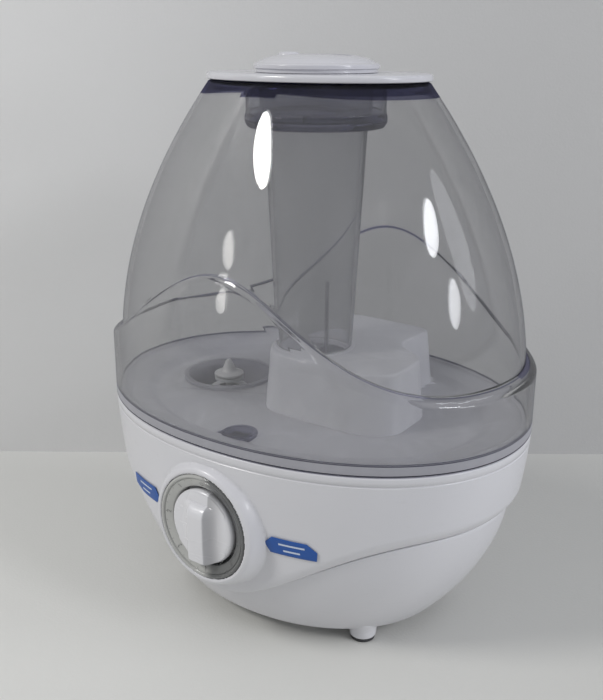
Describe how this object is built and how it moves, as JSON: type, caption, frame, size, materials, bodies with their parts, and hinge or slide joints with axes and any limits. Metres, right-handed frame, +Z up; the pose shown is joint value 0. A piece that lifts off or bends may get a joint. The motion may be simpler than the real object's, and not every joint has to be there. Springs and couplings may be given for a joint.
{
  "type": "cool mist humidifier",
  "caption": "Oval tabletop cool mist humidifier: white base with a mist dial, smoke-clear lift-off tank with a valve cap, mist tube and turning nozzle.",
  "frame": {"origin": "centre of the overall footprint, on the surface the rubber feet stand on", "axes": "+Z up; -Y is the front with the mist dial; +X to the right when facing the dial"},
  "size_m": [0.21, 0.1636, 0.2526],
  "materials": {
    "white_plastic": "satin-gloss white moulded plastic",
    "smoke_clear": "polished smoke-grey clear plastic",
    "dial_grey": "glossy grey",
    "rubber": "matt",
    "silicone": "soft translucent",
    "steel": "bright",
    "black_plastic": "moulded",
    "circuit_board": "solder mask",
    "heat_sink": "extruded",
    "label_blue": "printed film, blank",
    "float_plastic": "moulded"
  },
  "bodies": {
    "base": {"lower_bowl": "white_plastic", "upper_housing": "white_plastic", "basin": "white_plastic", "mist_chamber": "white_plastic", "mist_tower": "white_plastic", "air_chimney": "white_plastic", "air_duct": "white_plastic", "fan_housing": "black_plastic", "fan_motor": "steel", "transducer_disc": "steel", "transducer_seal": "rubber", "transducer_retainer": "steel", "retainer_screw_1": "steel", "retainer_screw_2": "steel", "retainer_screw_3": "steel", "float_retainer": "white_plastic", "level_switch": "black_plastic", "main_board": "circuit_board", "transformer": "black_plastic", "heat_sink": "heat_sink", "board_bracket": "white_plastic", "oscillator_board": "circuit_board", "drive_transistor": "black_plastic", "potentiometer": "black_plastic", "cord_gland": "black_plastic", "dial_ring": "dial_grey", "label_right": "label_blue", "label_left": "label_blue", "foot_pad_front_right": "rubber", "foot_pad_front_left": "rubber", "foot_pad_rear_right": "rubber", "foot_pad_rear_left": "rubber", "base_screw_front_right": "steel", "base_screw_front_left": "steel", "base_screw_rear_right": "steel", "base_screw_rear_left": "steel"},
    "tank": {"tank_shell": "smoke_clear", "tank_floor": "smoke_clear", "mist_tube": "smoke_clear", "nozzle_cup": "smoke_clear", "top_plate": "white_plastic"},
    "cap": {"tank_cap": "white_plastic", "cap_gasket": "silicone"},
    "valve": {"valve_plunger": "white_plastic", "valve_seal": "silicone", "valve_spring": "steel"},
    "insert": {"nozzle_insert": "smoke_clear"},
    "nozzle": {"nozzle_cap": "white_plastic"},
    "dial_knob": {"knob": "white_plastic", "knob_shaft": "steel"},
    "float": {"level_float": "float_plastic", "float_magnet": "steel"},
    "fan": {"fan_impeller": "black_plastic"}
  },
  "joints": [
    {"name": "tank_lift", "type": "slide", "parent": "base", "child": "tank", "axis": [0, 0, 1], "range_m": [0, 0.12]},
    {"name": "cap_turn", "type": "hinge", "parent": "tank", "child": "cap", "pos_m": [-0.0535, 0.0038, 0.08], "axis": [0, 0, 1], "range_deg": [0, 60]},
    {"name": "valve_slide", "type": "slide", "parent": "cap", "child": "valve", "axis": [0, 0, 1], "range_m": [-0.004, 0], "deforming": ["valve_spring"]},
    {"name": "insert_lift", "type": "slide", "parent": "tank", "child": "insert", "axis": [0, 0, 1], "range_m": [0, 0.03]},
    {"name": "nozzle_turn", "type": "hinge", "parent": "insert", "child": "nozzle", "pos_m": [0, 0.0038, 0.246], "axis": [0, 0, 1], "continuous": true},
    {"name": "knob_turn", "type": "hinge", "parent": "base", "child": "dial_knob", "pos_m": [0, -0.0774, 0.06], "axis": [0, -1, 0], "range_deg": [0, 270]},
    {"name": "float_rise", "type": "slide", "parent": "base", "child": "float", "axis": [0, 0, 1], "range_m": [0, 0.0032]},
    {"name": "fan_spin", "type": "hinge", "parent": "base", "child": "fan", "pos_m": [0.008, 0.0258, 0.02], "axis": [0, 0, 1], "continuous": true}
  ],
  "couplings": [
    {"joint": "valve_slide", "follows": "tank_lift", "ratio": -0.033333}
  ]
}
